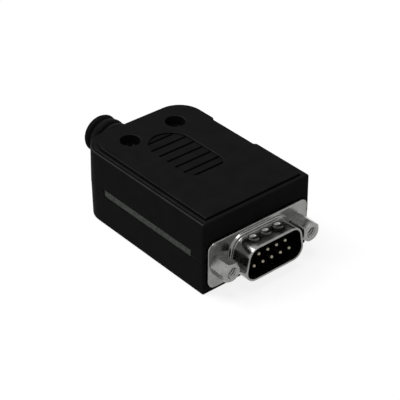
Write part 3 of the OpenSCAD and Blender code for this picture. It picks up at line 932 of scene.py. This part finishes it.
    def build_upper(self) -> None:
        """The upper shell, with grip, grooves, notch and screw wells."""
        shell = self.upper_body()
        roof = self.top - self.wall - self.roof_extra
        hollow = self.without_front(self.slab(self.seam - 1, roof, self.wall), self.seam - 2, self.top)
        steps = [(Cut.AWAY, hollow)]
        for x, y, seat in self.screws():
            below = seat - self.well_floor
            steps.append((Cut.JOIN, Solid.rod(Along.Z, (x, y, self.seam), roof + 0.5 - self.seam,
                                              self.post_radius)))
            steps.append((Cut.JOIN, Solid.rod(Along.Z, (x, y, below), roof + 0.5 - below,
                                              self.well_radius + self.well_wall)))
        for x, y, seat in self.screws():
            steps.append((Cut.AWAY, self.well(x, y, seat)))
            steps.append((Cut.AWAY, Solid.rod(Along.Z, (x, y, self.seam - 1), 10, self.shank_hole)))
        tools = [*self.grooves(), *self.grip(), self.side_notch(), *self.openings()]
        steps += [(Cut.AWAY, tool) for tool in tools]
        shell.work(*steps)
        shell.piece("upper_shell_moulding", HOOD_PLASTIC, "upper_shell", weighted=True)

    def build_lower(self) -> None:
        """The lower shell, with its tongue, posts and board rests."""
        shell = self.lower_body()
        floor = self.base + self.wall
        hollow = self.without_front(self.slab(floor, self.seam + 2, self.wall), self.base - 1, self.top)
        tongue = self.slab(self.seam - 1, self.lower[1].z, self.wall / 2 + 0.05)
        tongue.work((Cut.AWAY, Solid.block((self.left, self.front - 1, self.seam - 2),
                                           (self.right, self.front + self.front_wall + 1, self.top))))
        steps = [(Cut.JOIN, tongue), (Cut.AWAY, hollow)]
        for x, y, _ in self.screws():
            steps.append((Cut.JOIN, Solid.rod(Along.Z, (x, y, floor - 0.01), self.seam - floor,
                                              self.post_radius)))
            steps.append((Cut.AWAY, Solid.rod(Along.Z, (x, y, floor + self.pilot_floor), 20,
                                              self.pilot_hole)))
        steps += [(Cut.AWAY, tool) for tool in self.openings()]
        shell.work(*steps)
        shell.piece("lower_shell_moulding", HOOD_PLASTIC, "lower_shell", weighted=True)

    def build(self) -> None:
        """Both shells."""
        self.build_upper()
        self.build_lower()


# ---------- cable boot ----------


@dataclass
class CableBoot:
    """The ribbed strain relief, turned round the cable's axis. Sizes are in millimetres."""

    bore: float = 2.7
    collar: Pair = (5.8, 1.6)
    neck: float = 4.4
    root: float = 5.6
    tip: float = 5.1
    tip_round: float = 1.2
    tip_steps: int = 12
    bulge: tuple[Pair, ...] = ((0.0, 1.0), (0.06, 0.55), (0.2, 0.2), (0.42, 0.0))
    groove_width: float = 0.9
    groove_depth: float = 1.1
    groove_pitch: float = 3.25
    first_groove: float = 2.85
    grooves: int = 3

    def radius(self, height: float, length: float) -> float:
        """The taper's radius at a height over the hood's rear face."""
        return self.root + (self.tip - self.root) * height / (length - self.tip_round)

    def profile(self, start: float, length: float) -> list[Pair]:
        """Radius and height of the boot's section, from the inner end outwards.

        Args:
            start: height of the inner end, below the hood's rear face.
            length: height of the tip.

        Returns:
            The section's points.
        """
        rim, thick = self.collar
        points = [(self.bore, start), (rim - 0.2, start), (rim, start + 0.2), (rim, start + thick - 0.1),
                  (rim - 0.1, start + thick), (self.neck, start + thick), (self.neck, 0.05),
                  (self.root - 0.25, 0.05), (self.root, 0.3)]
        for i in reversed(range(self.grooves)):
            low = length - self.first_groove - i * self.groove_pitch
            high = low + self.groove_width
            outer_low, outer_high = self.radius(low, length), self.radius(high, length)
            floor = outer_low - self.groove_depth
            points += [(outer_low - drop, low - back) for drop, back in self.bulge]
            points += [(floor + 0.15, low + 0.12), (floor, low + 0.3), (floor, high - 0.3),
                       (floor + 0.15, high - 0.12)]
            points += [(outer_high - drop, high + back) for drop, back in reversed(self.bulge)]
        centre, r = length - self.tip_round, self.tip_round
        for k in range(1, self.tip_steps + 1):
            angle = math.pi / 2 * k / self.tip_steps
            points.append((self.tip - r + r * math.cos(angle), centre + r * math.sin(angle)))
        points += [(self.bore + 0.15, length), (self.bore, length - 0.15)]
        return points

    def build(self) -> None:
        """The boot in one piece."""
        low, high = cad_mm("cable_boot")
        rear = cad_mm("upper_shell")[1].y
        section = self.profile(low.y - rear, high.y - rear)
        boot = Solid.turned(section, Along.Y, (0, rear, middle_mm("cable_boot").z), 96)
        boot.piece("ribbed_boot", BOOT_RUBBER, "cable_boot", smooth=50)


# ---------- circuit board ----------


@dataclass
class CircuitBoard:
    """The board whose sawn edge shows in the hood's side. Sizes are in millimetres."""

    cutout: Pair = (10.2, 16.0)
    post: float = 2.65
    sawn: float = 0.07
    sawn_grain: Pair = (2.3, 5.0)
    steps: int = 180
    layers: int = 9

    def build(self) -> None:
        """The board, with a rough left edge."""
        low, high = cad_mm("circuit_board")
        board = Solid.block(low, high)
        left = {v for v in board.bm.verts if v.co.x < low.x + 0.01}
        for axis, cuts in ((Along.Y, self.steps), (Along.Z, self.layers)):
            edges = [e for e in board.bm.edges if edge_along(axis)(e) and left.issuperset(e.verts)]
            bmesh.ops.subdivide_edges(board.bm, edges=edges, cuts=cuts, use_grid_fill=True)
            left = {v for v in board.bm.verts if v.co.x < low.x + 0.01}
        for v in left:
            if low.y + 0.1 < v.co.y < high.y - 0.1:
                rough = noise.noise(Vector((v.co.y * self.sawn_grain[0], v.co.z * self.sawn_grain[1], 3.7)))
                v.co.x += self.sawn * (1 + rough)
        half, depth = self.cutout
        steps = [(Cut.AWAY, Solid.block((-half, low.y - 1, low.z - 1), (half, depth, high.z + 1)))]
        for side in SIDES:
            spot = middle_mm(f"housing_screw_{side}")
            steps.append((Cut.AWAY, Solid.rod(Along.Z, (spot.x, spot.y, low.z - 1), 4, self.post)))
        board.work(*steps)
        board.piece("board_edge", BOARD_LAMINATE, "circuit_board", smooth=60)


# ---------- connector ----------


@dataclass
class DSubFront:
    """Pressed front shell, moulded insulator and contacts. Sizes are in millimetres."""

    corner: float = 2.6
    inside: Pair = (16.92, 8.36)
    lean: float = 10.0
    sheet: float = 0.5
    flange_corner: float = 2.0
    plateau: float = 1.3
    plateau_height: float = 0.6
    dimple_pitch: float = 3.8
    dimple_y: float = -2.4
    dimple_radius: float = 1.45
    dimple_depth: float = 0.35
    jack_hole: float = 1.52
    arc_steps: int = 10
    flat_steps: int = 56
    skirt_steps: int = 26
    hole_radius: float = 0.55
    countersink: float = 1.15
    contacts: range = range(1, 10)
    pin_radius: float = 0.5
    nose_length: float = 0.62
    nose_steps: int = 8
    collar_start: float = 5.45
    collar_radius: float = 0.8
    cup_depth: float = 3.0
    flange: tuple[Vector, Vector] = field(default_factory=lambda: cad_mm("front_shell"))

    def __post_init__(self) -> None:
        """Works out the D's corner centres."""
        wide = self.inside[0] / 2 - self.corner
        half = self.inside[1] / 2 - self.corner
        narrow = wide - 2 * half * math.tan(math.radians(self.lean))
        r = self.corner
        self.corners = [(-wide, -half, r), (wide, -half, r), (narrow, half, r), (-narrow, half, r)]
        self.top = half + r

    def outline(self, arc_steps: int = 10, flat_steps: int = 1) -> Outline:
        """The connector's D, wide side down."""
        return Outline(self.corners, Along.Y, arc_steps, flat_steps)

    def sheet_section(self) -> list[Pair]:
        """Offset and Y of the sheet's rings, from the flange's face over the skirt's rim to its back."""
        t, p, h, skirt = self.sheet, self.plateau, self.plateau_height, self.flange[0].y
        start, end = -h - 0.5, skirt + 0.3
        body = [start + (end - start) * k / self.skirt_steps for k in range(self.skirt_steps + 1)]
        step = [(p + 0.16, 0.0), (p + 0.06, -0.04), (p + 0.01, -0.14), (p - 0.02, -h + 0.24),
                (p - 0.09, -h + 0.09), (p - 0.24, -h + 0.01), (p - 0.34, -h), (t + 0.2, -h),
                (t + 0.07, -h - 0.05), (t + 0.01, -h - 0.16), (t, -h - 0.3)]
        rim = [(t - 0.02, skirt + 0.12), (t - 0.1, skirt + 0.03), (t - 0.2, skirt), (0.2, skirt),
               (0.1, skirt + 0.03), (0.02, skirt + 0.12)]
        back = [(0.0, -0.25), (0.05, -0.14), (0.2, t - h), (p - t - 0.2, t - h),
                (p - t - 0.03, t - h + 0.1), (p - t, 0.15), (p - t + 0.05, t - 0.1), (p - t + 0.2, t)]
        return [*step, *((t, y) for y in body), *rim, *((0.0, y) for y in reversed(body)), *back]

    def build_shell(self) -> None:
        """Flange, raised step and skirt with three dimples, in one pressed sheet."""
        low, high = self.flange
        t = self.sheet
        plate = Outline.rectangle(high.x - low.x, high.z - low.z, self.flange_corner, self.arc_steps,
                                  self.flat_steps)
        d = self.outline(self.arc_steps, self.flat_steps)
        rings = [plate.ring(out, y) for out, y in [(0, t - 0.08), (0, 0.12), (-0.04, 0.04), (-0.12, 0.0)]]
        rings += [d.ring(out, y) for out, y in self.sheet_section()]
        rings += [plate.ring(out, y) for out, y in [(-0.12, t), (-0.04, t - 0.03)]]
        shell = Solid.lofted(rings, closed=True)
        self.press_dimples(shell)
        across = [middle_mm(f"standoff_{side}").x for side in SIDES]
        shell.work(*[(Cut.AWAY, Solid.rod(Along.Y, (x, -2, 0), 4, self.jack_hole)) for x in across])
        shell.piece("pressed_shell", SHELL_STEEL, "front_shell", smooth=32, weighted=True)

    def press_dimples(self, shell: Solid) -> None:
        """Presses the dimples into the skirt's top, on both faces of the sheet."""
        for v in shell.bm.verts:
            if v.co.z < self.top - 0.2 or v.co.y > -self.plateau_height - 0.3:
                continue
            near = min(math.hypot(v.co.x - place * self.dimple_pitch, v.co.y - self.dimple_y)
                       for place in (-1, 0, 1))
            share = min(near / self.dimple_radius, 1.0)
            v.co.z -= self.dimple_depth * (1 - share ** 2) ** 2 * (1 + share ** 2)

    def build_insulator(self) -> None:
        """The front moulding, with a countersink round each contact."""
        low, high = cad_mm("front_insulator")
        gap = 0.05
        d = self.outline(8)
        foot = self.sheet - self.plateau_height + gap
        wide = self.plateau - self.sheet - gap
        section = [(-gap - 0.1, low.y), (-gap, low.y + 0.1), (-gap, foot), (wide, foot), (wide, high.y)]
        block = Solid.lofted([d.ring(out, y) for out, y in section])
        end = high.y - low.y - 0.2
        wide_end, r = self.countersink, self.hole_radius
        hole = [(0, -0.3), (wide_end, -0.3), (r, 0.3), (r, end), (0, end)]
        spots = [middle_mm(f"pin_{number}") for number in self.contacts]
        block.work(*[(Cut.AWAY, Solid.turned(hole, Along.Y, (at.x, low.y, at.z), 32)) for at in spots])
        block.piece("insulator_front", INSULATOR, "front_insulator")

    def build_contact(self, number: int) -> None:
        """One turned contact with a bullet nose, a collar and an open solder cup."""
        low, high = cad_mm(f"pin_{number}")
        x, z = (low.x + high.x) / 2, (low.z + high.z) / 2
        length = high.y - low.y
        pin, collar, start = self.pin_radius, self.collar_radius, self.collar_start
        turns = [math.pi / 2 * k / self.nose_steps for k in range(self.nose_steps + 1)]
        nose = [(pin * math.sin(turn), self.nose_length * (1 - math.cos(turn))) for turn in turns]
        section = [*nose, (pin, start - 0.05), (collar, start), (collar, length - 0.06),
                   (collar - 0.06, length), (pin + 0.04, length), (pin, length - 0.05),
                   (pin, length - self.cup_depth), (0.0, length - self.cup_depth - 0.2)]
        contact = Solid.turned(section, Along.Y, (x, low.y, z), 28)
        contact.work((Cut.AWAY, Solid.block((x - 1, high.y - 2, z + 0.2), (x + 1, high.y + 1, z + 2))))
        contact.piece(f"contact_{number}", CONTACT_GOLD, f"pin_{number}")

    def build(self) -> None:
        """Shell, insulator and all contacts."""
        self.build_shell()
        self.build_insulator()
        for number in self.contacts:
            self.build_contact(number)


# ---------- fasteners ----------


@dataclass
class JackStandoff:
    """A hexagonal jack standoff with a tapped hole. Sizes are in millimetres."""

    side: str
    flats: float = 4.75
    tip: float = 2.2
    chamfer: float = 0.55
    shank: float = 1.4
    bore: float = 1.15
    mouth_flare: Pair = (0.35, 0.38)
    bore_floor: float = 0.75
    bore_point: float = 0.3
    thread_depth: float = 0.24
    pitch: float = 0.635
    thread_length: float = 6.5
    turns: dict[str, float] = field(default_factory=lambda: {"left": 7.6, "right": -22.6})

    def build(self) -> None:
        """Hexagon, turned chamfer, shank and thread."""
        low, high = cad_mm(f"standoff_{self.side}")
        x = middle_mm(f"standoff_{self.side}").x
        corner, length, r = self.flats / math.sqrt(3), -low.y, self.bore
        body = Solid.rod(Along.Y, (x, low.y, 0), length, corner, sides=6)
        level = 30 if self.points_up(body, x) else 0
        body.turned_about(Along.Y, self.turns[self.side] + level, (x, 0, 0))
        cone = [(0, 0), (self.tip - 0.08, 0), (self.tip, 0.06), (corner + 0.02, self.chamfer),
                (corner + 0.1, length - 0.15), (self.flats / 2 + 0.1, length), (0, length)]
        turned = Solid.turned(cone, Along.Y, (x, low.y, 0), 96)
        shank = Solid.rod(Along.Y, (x, -0.2, 0), high.y + 0.2, self.shank, sides=48)
        flare, flare_depth = self.mouth_flare
        hole = [(0, -0.5), (r + flare, -0.5), (r + flare, 0.02), (r, flare_depth),
                (r, length - self.bore_floor), (0, length - self.bore_point)]
        bore = Solid.turned(hole, Along.Y, (x, low.y, 0), 64)
        crest = r + self.thread_depth
        tooth = [(r - 0.05, -0.3), (crest, -0.04), (crest, 0.04), (r - 0.05, 0.3)]
        thread = Solid.helix(tooth, self.pitch, self.thread_length, Along.Y, (x, low.y + 0.1, 0), 32)
        body.round_edges(0.08, 2, edge_along(Along.Y))
        body.work((Cut.KEEP, turned), (Cut.JOIN, shank), (Cut.AWAY, bore.work((Cut.JOIN, thread))))
        body.piece(f"hex_standoff_{self.side}", JACK_NICKEL, f"standoff_{self.side}", smooth=32,
                   weighted=True)

    @staticmethod
    def points_up(body: Solid, x: float) -> bool:
        """True if a corner of the hexagon points up, where a flat belongs."""
        return any(abs(v.co.x - x) < 0.01 for v in body.bm.verts)


@dataclass
class HousingScrew:
    """A cross-head screw of the hood. Sizes are in millimetres."""

    side: str
    head: float = 2.45
    head_height: float = 1.7
    rim_share: float = 0.42
    dome_steps: int = 8
    shank: float = 1.1
    cross: Triple = (2.7, 0.6, 1.0)
    cross_taper: Triple = (0.45, 0.8, 1.0)
    turn: float = 20.0

    def dome(self) -> list[Pair]:
        """Radius and height of the head's side and top, from its seat to its middle."""
        r, rim, rise = self.head, self.head_height * self.rim_share, self.head_height * (1 - self.rim_share)
        section = [(r, 0.0), (r, rim)]
        for k in range(1, self.dome_steps):
            turn = math.pi / 2 * k / self.dome_steps
            section.append((r * math.cos(turn) ** 0.6, rim + rise * math.sin(turn)))
        return [*section, (0.0, rim + rise)]

    def build(self) -> None:
        """Pan head with a cross recess, on its shank."""
        low, high = cad_mm(f"housing_screw_{self.side}")
        x, y = (low.x + high.x) / 2, (low.y + high.y) / 2
        seat = high.z - self.head_height
        foot = low.z - seat
        section = [(0.0, foot), (self.shank - 0.5, foot), (self.shank, foot + 0.8), (self.shank, 0.0),
                   *self.dome()]
        screw = Solid.turned(section, Along.Z, (x, y, seat), 64)
        length, width, depth = self.cross
        steps = []
        for angle in (self.turn, self.turn + 90):
            bar = Solid.block((x - length / 2, y - width / 2, high.z - depth),
                              (x + length / 2, y + width / 2, high.z + 0.5))
            deep = [v for v in bar.bm.verts if v.co.z < high.z]
            bmesh.ops.scale(bar.bm, vec=self.cross_taper, space=Matrix.Translation((-x, -y, 0)), verts=deep)
            steps.append((Cut.AWAY, bar.turned_about(Along.Z, angle, (x, y, 0))))
        screw.work(*steps)
        screw.piece(f"cross_screw_{self.side}", SCREW_BLACK, f"housing_screw_{self.side}")


# ---------- studio ----------


@dataclass(frozen=True)
class Lamp:
    """A square soft lamp: where it is and its side, in metres, and its power, in watts."""

    name: str
    place: Triple
    size: float
    power: float


@dataclass
class Studio:
    """Camera, lamps, floor and surroundings.

    The camera's lengths and the floor's gap are in millimetres, and its angles in degrees.
    The lamps and the floor's half-width are in metres.
    """

    aim: Triple = (-6.789, 13.254, 8.232)
    distance: float = 333.0
    azimuth: float = -40.671
    elevation: float = 33.895
    roll: float = 0.411
    lens: float = 128.118
    sensor: float = 36.0
    floor_gap: float = 0.02
    fill: float = 0.2
    floor_half: float = 3.0
    floor_white: float = 0.8
    floor_seen: float = 0.22
    floor_glow: float = 0.84
    lamp_aim: Triple = (0.0, 0.02, 0.0)
    lamps: tuple[Lamp, ...] = (Lamp("key", (-0.24, 0.36, 0.62), 0.3, 2.2),
                               Lamp("overhead", (-0.12, 0.0, 0.8), 0.4, 2.2))

    def camera(self) -> None:
        """A long lens from the front left, above the plug."""
        a, e = math.radians(self.azimuth), math.radians(self.elevation)
        back = Vector((math.sin(a) * math.cos(e), -math.cos(a) * math.cos(e), math.sin(e)))
        right = Vector((0, 0, 1)).cross(back).normalized()
        up = back.cross(right)
        level = Matrix((right, up, back)).transposed().to_4x4()
        data = bpy.data.cameras.new("camera")
        data.lens, data.sensor_width = self.lens, self.sensor
        data.clip_start = 0.01
        found = linked("camera", data)
        place = Matrix.Translation((Vector(self.aim) + back * self.distance) * MM)
        found.matrix_world = place @ level @ Matrix.Rotation(math.radians(self.roll), 4, "Z")
        bpy.context.scene.camera = found

    def light(self, lamp: Lamp) -> None:
        """Sets up one lamp, pointed at the plug."""
        data = bpy.data.lights.new(lamp.name, "AREA")
        data.size, data.energy = lamp.size, lamp.power
        spot = Vector(lamp.place)
        facing = (Vector(self.lamp_aim) - spot).to_track_quat("-Z", "Y")
        linked(lamp.name, data).matrix_world = Matrix.Translation(spot) @ facing.to_matrix().to_4x4()

    def seen(self, tree: bpy.types.NodeTree) -> Socket:
        """1 for camera, mirror and glass rays, else 0."""
        path = tree.nodes.new("ShaderNodeLightPath")
        value = path.outputs["Is Camera Ray"]
        for name in ("Is Glossy Ray", "Is Transmission Ray"):
            most = tree.nodes.new("ShaderNodeMath")
            most.operation = "MAXIMUM"
            tree.links.new(value, most.inputs[0])
            tree.links.new(path.outputs[name], most.inputs[1])
            value = most.outputs["Value"]
        return value

    def between(self, tree: bpy.types.NodeTree, unseen: float, seen: float) -> Socket:
        """One value for the rays that light, another for the rays that see."""
        level = tree.nodes.new("ShaderNodeMapRange")
        level.inputs["To Min"].default_value = unseen
        level.inputs["To Max"].default_value = seen
        tree.links.new(self.seen(tree), level.inputs["Value"])
        return level.outputs["Result"]

    def world(self) -> None:
        """White where it is seen, a plain dim fill where it lights."""
        world = bpy.data.worlds.new("surroundings")
        world.use_nodes = True
        tree = world.node_tree
        back = tree.nodes["Background"]
        back.inputs["Color"].default_value = (1, 1, 1, 1)
        tree.links.new(self.between(tree, self.fill, 1.0), back.inputs["Strength"])
        bpy.context.scene.world = world

    def floor(self) -> None:
        """A plain white floor that keeps the plug's soft shadow."""
        bm = bmesh.new()
        bmesh.ops.create_grid(bm, x_segments=1, y_segments=1, size=self.floor_half)
        level = cad_box[0].z - self.floor_gap * MM
        bmesh.ops.translate(bm, vec=(0, 0, level), verts=bm.verts)
        mesh = bpy.data.meshes.new("floor")
        bm.to_mesh(mesh)
        bm.free()
        material = bpy.data.materials.new("floor_white")
        material.use_nodes = True
        tree = material.node_tree
        shader = tree.nodes["Principled BSDF"]
        white = self.between(tree, self.floor_white, self.floor_seen)
        tree.links.new(white, shader.inputs["Base Color"])
        shader.inputs["Roughness"].default_value = 1.0
        shader.inputs["Specular IOR Level"].default_value = 0.0
        shader.inputs["Emission Color"].default_value = (1, 1, 1, 1)
        tree.links.new(self.between(tree, 0.0, self.floor_glow), shader.inputs["Emission Strength"])
        mesh.materials.append(material)
        found = linked("floor", mesh)

    def build(self) -> None:
        """Everything round the plug."""
        self.camera()
        self.world()
        self.floor()
        for lamp in self.lamps:
            self.light(lamp)
        bpy.context.scene.view_settings.view_transform = "Standard"


def dress_cad_nodes() -> None:
    """Gives every CAD node its finish, whether a new piece stands for it or not."""
    for row in frame["record"]["subparts"]:
        node = frame["nodes"][row["node"]]
        node.data.materials.clear()
        node.data.materials.append(FINISHES[row["material_slot"]].material())


def main() -> None:
    """Builds the plug and its studio in order."""
    logging.basicConfig(level=logging.INFO, format="%(name)s: %(message)s")
    dress_cad_nodes()
    parts = [Hood(), CableBoot(), CircuitBoard(), DSubFront(), *[JackStandoff(side) for side in SIDES],
             *[HousingScrew(side) for side in SIDES], Studio()]
    for part in parts:
        part.build()
        log.info("built %s", type(part).__name__)


if __name__ == "__main__":
    main()
